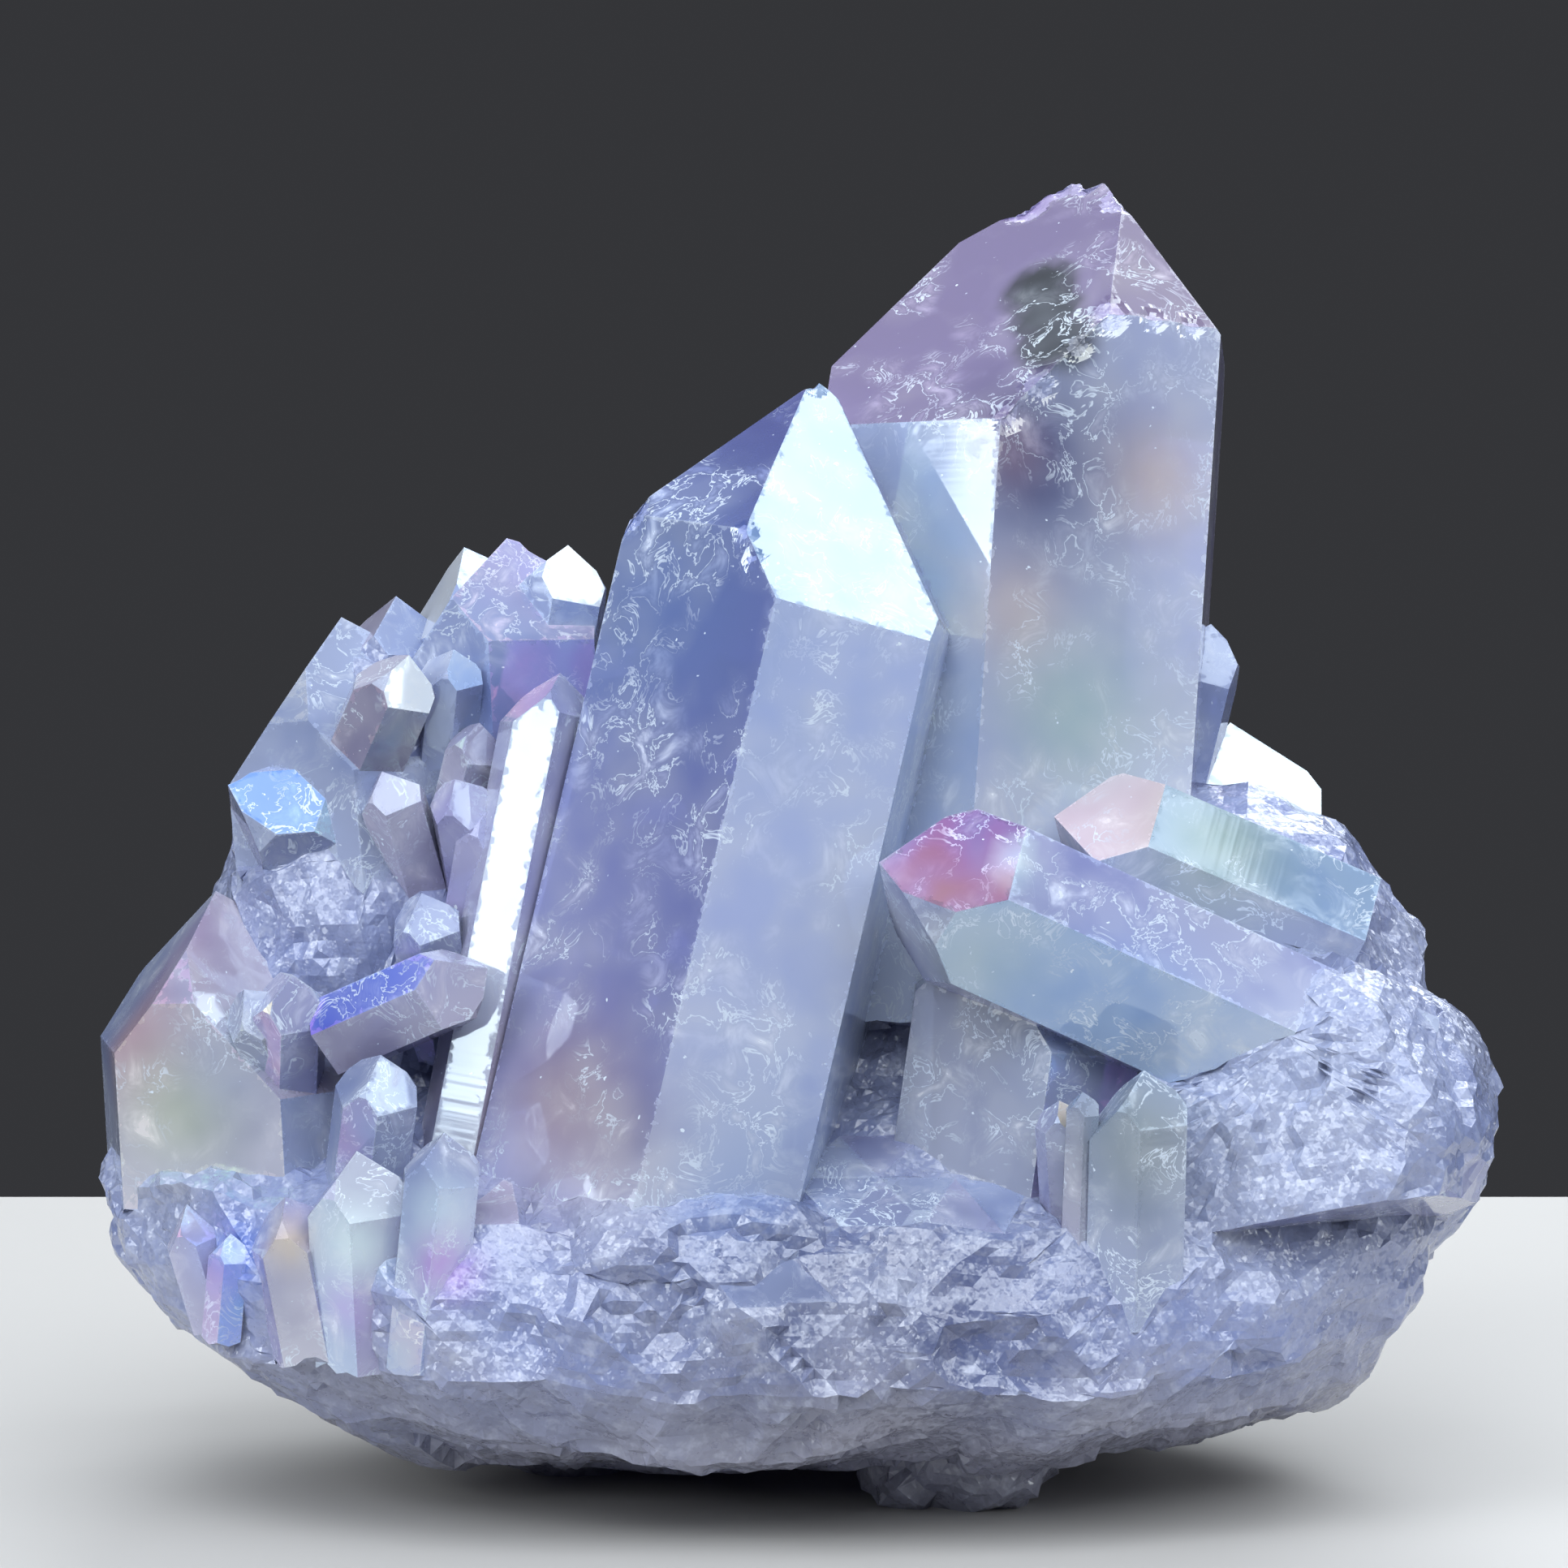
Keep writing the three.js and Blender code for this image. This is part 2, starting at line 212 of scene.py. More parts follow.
# Marks in the crystals: noises with sizes in millimetres, and the noise values between which a mark sets in
CLOUDS = {"size": 6, "detail": 2, "roughness": 0.6}
RIPPLE = {"size": 2.2, "detail": 4, "roughness": 0.62, "distortion": 0.8}
GRAIN = {"size": 0.5, "detail": 2}
NOISE_MIDDLE = (0.3, 0.7)  # most of a noise's values lie in here
VEIL = (0.42, 0.68)
VEIL_AT_FOOT = 0.25
WISPS = (0.52, 0.7)
# Pale veins and flecks: partly real fractures, partly painted glints off them
RIPPLE_LINE = 0.5  # veins follow the lines where the ripple has this value
VEIN_GLINT_WIDTH = (0.005, 0.018)
VEIN_GLINT_STRENGTH = 0.8
VEIN_GLINT_PLACES = (0.45, 0.58)
# Pale worn edges: partly wear, partly a painted highlight along the crystals' edges
WORN_GLINT_PLACES = (0.48, 0.64)
WORN_GLINT_STRENGTH = 0.3
FLECK_GLINTS = (0.73, 0.77)
# Colour of the veins, flecks and worn edges, partly painted glints and edge highlights
MARK_AND_GLINT_COLOUR = (0.78, 0.87, 1.0)
# Worn rims with their painted highlight, and etched rims: noise taken off the distance to the edge, and
# where the rim ends, millimetres
WORN_GLINT_WOBBLE = 0.3
WORN_GLINT_RIM = (-0.12, -0.04)
ETCHED_WOBBLE = 1.4
ETCHED_RIM = (-0.75, -0.45)
# How much veil and haze pale the tint, and how much milk and haze cover the clear quartz
VEIL_PALES = 0.35
HAZE_PALES = 0.3
MILK_COVERS = 0.6
HAZE_COVERS = 0.8
# Roughness of plain, hazy and etched places
PLAIN_ROUGHNESS = 0.05
HAZE_ROUGHNESS = 0.3
ETCHED_ROUGHNESS = 0.4
# Growth lines across the side faces
GROWTH_SIZE = 0.5 * MM
GROWTH_STRENGTH = 0.015
GROWTH_HEIGHT = 0.1 * MM

# Broken quartz
ROCK_CLOUDS = {"size": 8, "detail": 2}
ROCK_GRAIN = {"size": 1.3, "detail": 3, "roughness": 0.7}
ROCK_TINT = "8c98c8"
ROCK_PALE = (0.44, 0.48, 0.66)
PALE_PLACES = (0.4, 0.65)
PALE_SHARE = 0.5
ROCK_LOW = (0.35, 0.35, 0.46)
LOW_WOBBLE = 16 * MM
LOW_BAND = (-4 * MM, 5 * MM)
LOW_SHARE = 0.85
# Painted shade in the hollows of the grain, and painted highlight on its crests
ROCK_HOLLOW_SHADE = (0.24, 0.24, 0.36)
SHADED_HOLLOWS = (0.3, 0.5)
HOLLOW_SHADE_SHARE = 0.2
ROCK_CREST_HIGHLIGHT = (0.78, 0.83, 1.0)
LIT_CRESTS = (0.52, 0.7)
CREST_HIGHLIGHT_SHARE = 0.35
ROCK_CLEAR = 0.12
ROCK_SPECULAR = 0.75
ROCK_ROUGHNESS = (0.24, 0.4)
COAT_WEIGHT = 0.7
COAT_ROUGHNESS = 0.1
COAT_IOR = 1.7
GRAIN_STRENGTH = 0.35
GRAIN_HEIGHT = 0.35 * MM
SPARKLE_SIZE = 0.28
# How far the sparkling cells turn each normal: noise values, and the turns there
SPARKLE_TURNS = {
    "Normal": ((0.42, 0.62), (0.05, 0.2)),
    "Coat Normal": ((0.35, 0.6), (0.35, 1)),
}

# Floor, lights and camera
FLOOR_REACH = 90 * MM
FLOOR_COLOUR = (0.575, 0.555, 0.545)
FLOOR_ROUGHNESS = 0.6
WORLD_COLOUR = (0.035, 0.036, 0.04)
LIGHT_COLOUR = (0.9, 0.96, 1.0)
LIGHT_CENTRE = Vector((0, -5, 40)) * MM
LIGHT_DISTANCE = 600 * MM
# Name, azimuth, elevation, width and height in degrees, brightness
SOFTBOXES = (
    ("right_top", 110, 53, 16, 17, 4),
    ("left", -58, 24, 26, 30, 5.8),
    ("front_left", -18, 16, 9, 9, 5),
    ("right_low", 76, 15, 16, 20, 5),
    ("back_right", 162, 38, 40, 28, 4),
    ("overhead", -36, 56, 36, 46, 1.9),
    ("front_fill", 25, 50, 64, 46, 3.1),
    ("back_wall", 180, 48, 110, 56, 0.7),
)
CAMERA_ELEVATION = 7
CAMERA_DISTANCE = 450 * MM
CAMERA_LENS = 181.1
CAMERA_TARGET = Vector((-0.44, 3.43, 39.15)) * MM
DIFFUSE_BOUNCES = 1
ALL_BOUNCES = 8


# Meshes
def cad_mesh(source):
    """Corner points and triangles of a CAD node, with the points that coincide made one."""
    bm = bmesh.new()
    bm.from_mesh(source.data)
    bmesh.ops.remove_doubles(bm, verts=bm.verts, dist=WELD)
    bmesh.ops.triangulate(bm, faces=bm.faces)
    bm.verts.index_update()
    points = np.array([v.co for v in bm.verts], float)
    triangles = np.array([[v.index for v in f.verts] for f in bm.faces], int)
    bm.free()
    return points, triangles


def normals_of(points, triangles):
    """Unit normals and areas of triangles."""
    a, b, c = (points[triangles[:, k]] for k in range(3))
    cross = np.cross(b - a, c - a)
    size = np.linalg.norm(cross, axis=1)
    return cross / np.maximum(size, TINY)[:, None], size / 2


def vertex_normals(points, triangles, chosen):
    """Unit normals at points, from the chosen triangles around them."""
    normal, area = normals_of(points, triangles[chosen])
    total = np.zeros_like(points)
    for k in range(3):
        np.add.at(total, triangles[chosen][:, k], normal * area[:, None])
    return total / np.maximum(np.linalg.norm(total, axis=1), TINY)[:, None]


def edges_of(triangles):
    """Each edge once, and the edge that each side of each triangle lies on."""
    sides = np.sort(triangles[:, [[0, 1], [1, 2], [2, 0]]].reshape(-1, 2), axis=1)
    edges, place = np.unique(sides, axis=0, return_inverse=True)
    return edges, place.reshape(-1, 3)


def neighbours(triangles):
    """Pairs of triangles that share an edge, and the two ends of that edge."""
    edges, place = edges_of(triangles)
    order = np.argsort(place.ravel(), kind="stable")
    owner = order // 3
    key = place.ravel()[order]
    same = key[1:] == key[:-1]
    return np.stack([owner[:-1][same], owner[1:][same]], axis=1), edges[key[:-1][same]]


def groups_of(count, pairs):
    """The group of each of count things, where pairs belong together."""
    parent = list(range(count))

    def root(i):
        while parent[i] != i:
            parent[i] = parent[parent[i]]
            i = parent[i]
        return i

    for i, j in pairs:
        parent[root(i)] = root(j)
    return np.unique([root(i) for i in range(count)], return_inverse=True)[1]


def add_attribute(mesh, name, values):
    """A number, or a colour, at each corner of a mesh."""
    kind = "FLOAT_COLOR" if values.ndim == 2 else "FLOAT"
    field = mesh.attributes.new(name, kind, "CORNER")
    if values.ndim == 2:
        values = np.column_stack([values, np.ones(len(values))])
        field.data.foreach_set("color", values.astype(np.float32).ravel())
    else:
        field.data.foreach_set("value", values.astype(np.float32).ravel())


def mesh_object(name, points, triangles, material, looks):
    """An object from points and triangles, with each triangle's material and the looks of its corners."""
    mesh = bpy.data.meshes.new(name)
    mesh.from_pydata(points.tolist(), [], triangles.tolist())
    mesh.polygons.foreach_set("material_index", material.astype(np.int32))
    for look, values in looks.items():
        add_attribute(mesh, look, values)
    made = bpy.data.objects.new(name, mesh)
    bpy.context.scene.collection.objects.link(made)
    return made


# Crystal faces
def flat_faces(points, triangles):
    """The flat face that each triangle belongs to, with each face's normal and area."""
    normal, area = normals_of(points, triangles)
    pairs, _ = neighbours(triangles)
    larger = np.where(area[pairs[:, 0]] >= area[pairs[:, 1]], pairs[:, 0], pairs[:, 1])
    other = pairs.sum(axis=1) - larger
    away = points[triangles[other]] - points[triangles[larger]][:, :1]
    off = np.abs(np.einsum("ijk,ik->ij", away, normal[larger])).max(axis=1)
    cosine = np.einsum("ij,ij->i", normal[larger], normal[other])
    face = groups_of(len(triangles), pairs[(off < PLANE_SLACK) & (cosine > SAME_SIDE)])
    total = np.bincount(face, area)
    summed = np.stack([np.bincount(face, area * normal[:, k]) for k in range(3)], axis=1)
    return face, summed / np.linalg.norm(summed, axis=1)[:, None], total


def crystal_faces(points, triangles):
    """The flat faces, which of them belong to crystals, and the crystal that each belongs to.
    Crystal faces are those that meet at quartz's own angles, and all large ones."""
    face, normal, area = flat_faces(points, triangles)
    pairs, edge = neighbours(triangles)
    one, two = face[pairs[:, 0]], face[pairs[:, 1]]
    turn = np.degrees(np.arccos(np.clip(np.einsum("ij,ij->i", normal[one], normal[two]), -1, 1)))
    fits = np.min([np.abs(turn - angle) for angle in QUARTZ_ANGLES], axis=0) < ANGLE_SLACK
    long_enough = np.linalg.norm(points[edge[:, 0]] - points[edge[:, 1]], axis=1) > LEAST_EDGE
    meets = fits & long_enough & (one != two)
    crystal = area > LARGE_FACE
    crystal[one[meets]] = True
    crystal[two[meets]] = True
    owner = groups_of(len(area), np.stack([one[meets], two[meets]], axis=1))
    return face, normal, area, crystal, owner


def axis_candidates(one, two):
    """Directions that may be the long axis of a crystal with two faces of these normals."""
    cosine = one @ two
    yield np.cross(one, two)
    yield one - cosine * two
    yield two - cosine * one
    lift = CROWN_COSINE / (1 + cosine)
    rest = 1 - lift * lift * 2 * (1 + cosine)
    if rest > 0:
        across = np.cross(one, two) * math.sqrt(rest / max(1 - cosine * cosine, LEAST_SINE_SQUARE))
        yield lift * (one + two) + across
        yield lift * (one + two) - across


def crystal_axis(normals, areas):
    """The long axis of a crystal: side faces lie along it, and crown faces all slope alike to it."""
    best, most = np.array([0, 0, 1.0]), -1
    for i in range(len(normals)):
        for j in range(i):
            for axis in axis_candidates(normals[i], normals[j]):
                size = np.linalg.norm(axis)
                if size < LEAST_AXIS:
                    continue
                axis = axis / size
                lean = np.abs(normals @ axis)
                fits = np.minimum(lean, np.abs(lean - CROWN_COSINE)) < AXIS_SLACK
                if areas[fits].sum() > most:
                    best, most = axis, areas[fits].sum()
    crown = np.abs(normals @ best) > CROWN_COSINE / 2
    up = (normals[crown] @ best).sum() if crown.any() else best[2]
    return best if up >= 0 else -best


def axes_of_faces(normal, area, crystal, owner):
    """The long axis of the crystal that each face belongs to."""
    axes = np.tile([0, 0, 1.0], (len(area), 1))
    for group in np.unique(owner[crystal]):
        members = np.where((owner == group) & crystal)[0]
        axes[members] = crystal_axis(normal[members], area[members])
    return axes


def face_at(place, points, triangles, face, crystal):
    """The crystal face nearest to a place."""
    middle = points[triangles].mean(axis=1)
    away = np.linalg.norm(middle - np.array(place) * MM, axis=1)
    away[~crystal[face]] = np.inf
    return face[np.argmin(away)]


# Finer mesh
def chip_depth(points):
    """How deep the chipped places on the crystals' edges are cut, by distance from each one's middle."""
    depth = np.zeros(len(points))
    for place, reach in CHIPS:
        away = np.linalg.norm(points - np.array(place) * MM, axis=1) / (reach * MM)
        depth = np.maximum(depth, np.clip(1 - away, 0, 1) * reach * MM * CHIP_SLOPE)
    return depth


def refined(points, triangles, limit):
    """Splits the edges that are longer than a triangle beside them allows, until none is.
    Also gives the triangle that each new one comes from."""
    origin = np.arange(len(triangles))
    for _ in range(REFINE_PASSES):
        edges, place = edges_of(triangles)
        chipped = (chip_depth(points) > 0)[triangles].any(axis=1)
        wanted = np.where(chipped, CHIP_EDGE, limit[origin])
        length = np.linalg.norm(points[edges[:, 0]] - points[edges[:, 1]], axis=1)
        allowed = np.full(len(edges), np.inf)
        np.minimum.at(allowed, place.ravel(), np.repeat(wanted, 3))
        split = length > SPLIT_OVER * allowed
        if not split.any():
            break
        middle = np.full(len(edges), -1)
        middle[split] = len(points) + np.arange(split.sum())
        points = np.vstack([points, points[edges[split]].mean(axis=1)])
        triangles, origin = split_triangles(points, triangles, origin, middle[place])
    return points, triangles, origin


def split_triangles(points, triangles, origin, middle):
    """Triangles cut at the middles of their sides, where a side has one."""
    count = (middle >= 0).sum(axis=1)
    parts, owners = [triangles[count == 0]], [origin[count == 0]]

    def keep(rows, *corners):
        parts.append(np.stack(corners, axis=1))
        owners.append(origin[rows])

    def turned(rows, first):
        turn = (first[:, None] + np.arange(3)) % 3
        return np.take_along_axis(triangles[rows], turn, 1).T, np.take_along_axis(middle[rows], turn, 1).T

    rows = np.where(count == 1)[0]
    (a, b, c), (ab, _, _) = turned(rows, np.argmax(middle[rows] >= 0, axis=1))
    keep(rows, a, ab, c)
    keep(rows, ab, b, c)

    rows = np.where(count == 2)[0]
    (a, b, c), (ab, bc, _) = turned(rows, (np.argmin(middle[rows], axis=1) + 1) % 3)
    keep(rows, ab, b, bc)
    near = np.linalg.norm(points[a] - points[bc], axis=1) < np.linalg.norm(points[ab] - points[c], axis=1)
    keep(rows, a, ab, np.where(near, bc, c))
    keep(rows, np.where(near, a, ab), bc, c)

    rows = np.where(count == 3)[0]
    (a, b, c), (ab, bc, ca) = triangles[rows].T, middle[rows].T
    keep(rows, a, ab, ca)
    keep(rows, ab, b, bc)
    keep(rows, bc, c, ca)
    keep(rows, ab, bc, ca)
    return np.vstack(parts), np.concatenate(owners)


# Broken surfaces
def broken_height(p):
    """How far the broken surface stands out at a point: tilted flakes of three sizes."""
    height = 0.0
    for size, depth in FLAKES:
        q = p / (size * MM)
        centre = noise.voronoi(q)[1][0]
        tilt = noise.cell_vector(centre * FLAKE_SHUFFLE) - Vector(HALF)
        height += depth * MM * 2 * (q - centre).dot(tilt)
    return height


def flake_shift(points, triangles, rock, face, face_normal):
    """Moves that give the broken quartz its flakes. Where it meets a crystal, points stay in its face."""
    on_rock = np.zeros(len(points), bool)
    on_rock[triangles[rock].ravel()] = True
    normal = vertex_normals(points, triangles, rock)
    shift = np.zeros_like(points)
    for i in np.where(on_rock)[0]:
        shift[i] = normal[i] * broken_height(Vector(points[i]))
    planes = {}
    for corner, plane in zip(triangles[~rock].ravel(), np.repeat(face[~rock], 3)):
        if on_rock[corner]:
            planes.setdefault(corner, set()).add(plane)
    for corner, around in planes.items():
        if len(around) > 1:
            shift[corner] = 0
        else:
            across = face_normal[around.pop()]
            shift[corner] -= across * (shift[corner] @ across)
    return shift


def chip_shift(points, triangles):
    """Moves that cut the chips into the crystals' edges."""
    outward = vertex_normals(points, triangles, np.ones(len(triangles), bool))
    depth = chip_depth(points)
    shift = np.zeros_like(points)
    for i in np.where(depth > 0)[0]:
        flake = broken_height(Vector(points[i]) * CHIP_GRAIN) / CHIP_FLAKE
        shift[i] = -outward[i] * depth[i] * (CHIP_LEVEL + flake)
    return shift


def roughened(points, triangles, rock, face, face_normal):
    """Points moved for flakes and chips. Those on the floor stay on it, and none goes below it."""
    shift = flake_shift(points, triangles, rock, face, face_normal) + chip_shift(points, triangles)
    shift[points[:, 2] < FLOOR_SLACK] *= [1, 1, 0]
    moved = points + shift
    moved[:, 2] = np.maximum(moved[:, 2], 0)
    return moved


# Looks of faces and corners
def rgb(code):
    """Linear colour from a six-digit code."""
    values = [int(code[k:k + 2], 16) / 255 for k in (0, 2, 4)]
    return np.array([v / 12.92 if v <= 0.04045 else ((v + 0.055) / 1.055) ** 2.4 for v in values])


def between(limits, share):
    """The value that lies a share of the way from one limit to the other."""
    low, high = limits
    return low + (high - low) * share


def nearness_to_rock(points, triangles, rock):
    """1 where a crystal grows out of the broken quartz, falling towards 0 along it."""
    corners = np.unique(triangles[rock])
    tree = KDTree(len(corners))
    for i, corner in enumerate(corners):
        tree.insert(points[corner], i)
    tree.balance()
    away = np.array([tree.find(p)[2] for p in points])
    return np.exp(-away / MILK_REACH)


def distance_to_rim(points, triangles, face, crystal):
    """How far each corner of each triangle is from the edges of its crystal face. Far off on rock."""
    pairs, edge = neighbours(triangles)
    sharp = face[pairs[:, 0]] != face[pairs[:, 1]]
    borders = {}
    for pair, ends in zip(pairs[sharp], edge[sharp]):
        for one in face[pair]:
            borders.setdefault(one, []).append(ends)
    rim = np.full(len(triangles) * 3, 1.0)
    corner_face = np.repeat(face, 3)
    by_face = np.argsort(corner_face, kind="stable")
    starts = np.searchsorted(corner_face[by_face], np.arange(len(crystal) + 1))
    for one in np.where(crystal)[0]:
        corners = by_face[starts[one]:starts[one + 1]]
        if one not in borders or not len(corners):
            continue
        a, b = points[np.array(borders[one])].transpose(1, 0, 2)
        p = points[triangles.ravel()[corners]][:, None]
        along = b - a
        share = np.clip(((p - a) * along).sum(axis=2) / (along * along).sum(axis=1), 0, 1)
        rim[corners] = np.linalg.norm(p - a - share[..., None] * along, axis=2).min(axis=1)
    return rim


def face_looks(points, triangles, face, crystal, owner):
    """Colour, clearness and film thickness of each face."""
    draw = np.random.default_rng(SEED)
    count = len(crystal)
    lot = draw.random((count, 3))
    colours = np.stack([rgb(code) for code in CRYSTAL_TINTS])
    tint = colours[draw.integers(0, len(colours), count)[owner]] * between(TINT_LEVELS, lot[:, :1])
    clear = between(CLEAR, draw.random(count))[owner]
    thick = lot[:, 2] < THICK_FILM_SHARE
    film = np.where(thick, between(THICK_FILM, lot[:, 1]), between(FILM, lot[:, 1]))
    for place, code, see_through, thickness in FACETS:
        chosen = face_at(place, points, triangles, face, crystal)
        tint[chosen] = rgb(code)
        clear[chosen] = see_through
        film[chosen] = thickness
    return tint, clear, film


def with_tint_and_light_patches(tint, points):
    """Corner colours with the soft patches of colour and of painted light and shade laid over them."""
    for place, reach, code, strength in TINT_AND_LIGHT_PATCHES:
        away = np.linalg.norm(points - np.array(place) * MM, axis=1) / (reach * MM)
        share = (strength * np.exp(-away ** 2))[:, None]
        tint = tint * (1 - share) + rgb(code) * share
    return tint


def with_inclusion(tint, clear, points):
    """Corner colours and clearness with the dark inclusion in them."""
    places = np.array(INCLUSION_PLACES) * MM
    away = np.min([np.linalg.norm(points - place, axis=1) for place in places], axis=0)
    share = np.exp(-(away / (INCLUSION_REACH * MM)) ** INCLUSION_EDGE)
    tint = tint * (1 - share[:, None]) + rgb(INCLUSION_COLOUR) * share[:, None]
    return tint, clear * (1 - share)


def cluster_object():
    """The whole cluster as one mesh: flat crystal faces, and flakes where the quartz is broken."""
    points, triangles = cad_mesh(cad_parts["quartz_cluster"])
    face, face_normal, face_area, crystal, owner = crystal_faces(points, triangles)
    axis = axes_of_faces(face_normal, face_area, crystal, owner)
    side = np.abs(np.einsum("ij,ij->i", face_normal, axis)) < AXIS_SLACK
    for place in BREAKS:
        crystal[face_at(place, points, triangles, face, crystal)] = False

    limit = np.where(crystal[face], FACE_EDGE, ROCK_EDGE)
    points, triangles, origin = refined(points, triangles, limit)
    face = face[origin]
    rock = ~crystal[face]
    broken = rock | (chip_depth(points) > CHIP_SHOWS)[triangles].all(axis=1)
    milk = nearness_to_rock(points, triangles, rock)
    rim = distance_to_rim(points, triangles, face, crystal)
    tint, clear, film = face_looks(points, triangles, face, crystal, owner)
    points = roughened(points, triangles, rock, face, face_normal)

    corner = triangles.ravel()
    corner_face = np.repeat(face, 3)
    corner_tint = np.where(np.repeat(rock, 3)[:, None], rgb(ROCK_TINT), tint[corner_face])
    corner_tint = with_tint_and_light_patches(corner_tint, points[corner])
    corner_tint, corner_clear = with_inclusion(corner_tint, clear[corner_face], points[corner])
    looks = {
        "tint": corner_tint,
        "clear": corner_clear,
        "film": film[corner_face],
        "milk": milk[corner],
        "along": np.einsum("ij,ij->i", points[corner], axis[corner_face]),
        "rim": rim / MM,
        "side": side[corner_face].astype(float),
    }
    return mesh_object("aura_quartz_cluster", points, triangles, broken, looks)


# Shader nodes
def fill(tree, socket, value):
    """Links a socket to another node's output, or sets a plain value on it."""
    if isinstance(value, bpy.types.NodeSocket):
        tree.links.new(value, socket)
    else:
        socket.default_value = value


def node(tree, kind, inputs=None, **settings):
    """A shader node with its settings and inputs, which are other nodes' outputs or plain values."""
    made = tree.nodes.new("ShaderNode" + kind)
    for name, value in settings.items():
        setattr(made, name, value)
    for name, value in (inputs or {}).items():
        fill(tree, made.inputs[name], value)
    return made


def maths(tree, operation, *values):
    """The output of a Math node on outputs or plain values."""
    made = node(tree, "Math", operation=operation)
    for socket, value in zip(made.inputs, values):
        fill(tree, socket, value)
    return made.outputs[0]


def largest(tree, first, *others):
    """The largest of several outputs or plain values."""
    for other in others:
        first = maths(tree, "MAXIMUM", first, other)
    return first


def vector_maths(tree, operation, *values, scale=None):
    """The output of a Vector Math node on outputs or plain values."""
    made = node(tree, "VectorMath", operation=operation)
    for socket, value in zip(made.inputs, values):
        fill(tree, socket, value)
    if scale is not None:
        fill(tree, made.inputs["Scale"], scale)
    return made.outputs[0]


def mixed(tree, share, first, second):
    """A colour between an output's colour and a plain one."""
    made = node(tree, "Mix", data_type="RGBA")
    for place, value in zip(MIX_INPUTS, (share, first, (*second, 1))):
        fill(tree, made.inputs[place], value)
    return made.outputs[MIX_OUTPUT]


def spread(tree, value, limits, to=(0.0, 1.0)):
    """A value from one range put into another and held within it."""
    ranges = {"From Min": limits[0], "From Max": limits[1], "To Min": to[0], "To Max": to[1]}
    return node(tree, "MapRange", {"Value": value, **ranges}).outputs[0]


def attribute(tree, name, output="Fac"):
    """A look that is stored at the mesh's corners."""
    return node(tree, "Attribute", attribute_name=name).outputs[output]


def cloud(tree, place, size, detail, roughness=0.5, distortion=0.0):
    """Noise with features of a size in millimetres."""
    shape = {"Detail": detail, "Roughness": roughness, "Distortion": distortion}
    return node(tree, "TexNoise", {"Vector": place, "Scale": 1 / (size * MM), **shape}).outputs["Fac"]


def cell_colours(tree, place, size):
    """A random colour for each cell of a size in millimetres."""
    return node(tree, "TexVoronoi", {"Vector": place, "Scale": 1 / (size * MM)}).outputs["Color"]


# Materials
def blank_material(name):
    """A new material with its nodes and its main shader."""
    material = bpy.data.materials.new(name)
    material.use_nodes = True
    tree = material.node_tree
    return material, tree, tree.nodes["Principled BSDF"]


def set_inputs(tree, shader, values):
    """Links or sets several inputs of a shader."""
    for name, value in values.items():
        fill(tree, shader.inputs[name], value)


def absorb(tree):
    """Lavender absorption inside the quartz."""
    inside = {"Color": (*ABSORPTION_COLOUR, 1), "Density": ABSORPTION_DENSITY}
    volume = node(tree, "VolumeAbsorption", inside)
    tree.links.new(volume.outputs[0], tree.nodes["Material Output"].inputs["Volume"])


def pale_marks_and_glints(tree, rim, clouds, ripple, grain):
    """Where a crystal has a thin pale streak, an edge pale from wear or a fleck; each is partly a painted
    glint.
    """
    # veins and flecks: partly real fractures, partly painted glints
    off_line = maths(tree, "ABSOLUTE", maths(tree, "SUBTRACT", ripple, RIPPLE_LINE))
    vein_glint = spread(tree, off_line, VEIN_GLINT_WIDTH, (VEIN_GLINT_STRENGTH, 0))
    vein_glints = maths(tree, "MULTIPLY", vein_glint, spread(tree, clouds, VEIN_GLINT_PLACES))
    # worn edges: partly wear, partly a painted highlight along the edge
    edge = spread(tree, maths(tree, "MULTIPLY_ADD", ripple, -WORN_GLINT_WOBBLE, rim), WORN_GLINT_RIM, (1, 0))
    worn_glint = maths(tree, "MULTIPLY", edge, spread(tree, clouds, WORN_GLINT_PLACES, (0, WORN_GLINT_STRENGTH)))
    return largest(tree, vein_glints, worn_glint, spread(tree, grain, FLECK_GLINTS))


def growth_lines(tree):
    """A normal with fine lines across the side faces of a crystal."""
    height = {"W": attribute(tree, "along"), "Scale": 1 / GROWTH_SIZE, "Detail": 1.0}
    lines = node(tree, "TexNoise", height, noise_dimensions="1D").outputs["Fac"]
    steps = maths(tree, "MULTIPLY", lines, attribute(tree, "side"))
    bump = {"Height": steps, "Strength": GROWTH_STRENGTH, "Distance": GROWTH_HEIGHT}
    return node(tree, "Bump", bump).outputs[0]


